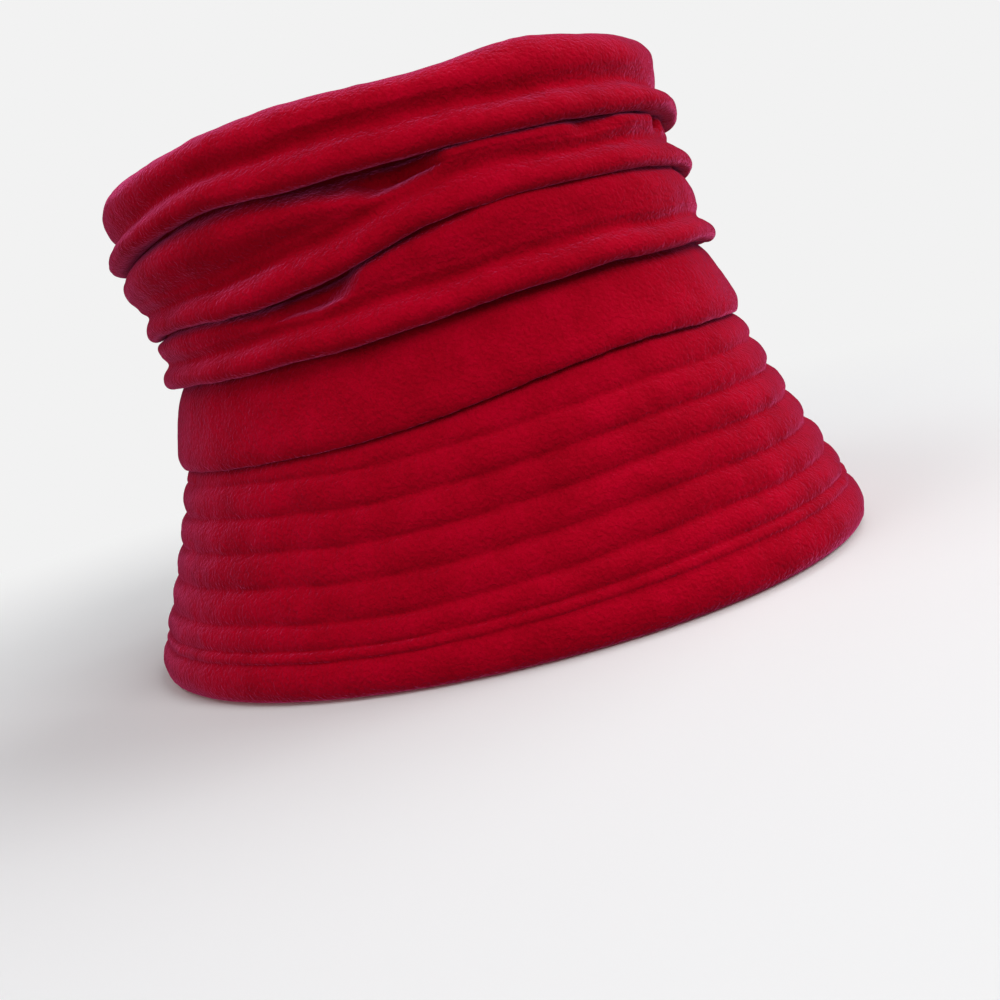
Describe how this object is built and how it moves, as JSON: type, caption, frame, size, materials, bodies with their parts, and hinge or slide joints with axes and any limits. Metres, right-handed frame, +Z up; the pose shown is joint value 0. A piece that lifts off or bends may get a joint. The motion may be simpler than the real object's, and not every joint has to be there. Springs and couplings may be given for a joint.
{
  "type": "fleece bucket hat",
  "caption": "Soft fleece bucket hat: flat-topped crown with three rolled tucks, a smooth turned-over band and a quilted flared brim with a padded rim.",
  "frame": {"origin": "middle of the brim's rim on the surface that the hat rests on", "axes": "-Y is the front of the hat, -X the wearer's right, +Z up through the crown"},
  "size_m": [0.2318, 0.27, 0.1813],
  "materials": {
    "fleece": "brushed crimson fleece with a short pebbled nap",
    "fleece_inside": "the same crimson fleece on the underside of the brim"
  },
  "bodies": {
    "root": {"crown_tip": "fleece", "crown_side": "fleece", "crown_band": "fleece", "brim_upper": "fleece", "brim_facing": "fleece_inside"}
  },
  "joints": []
}
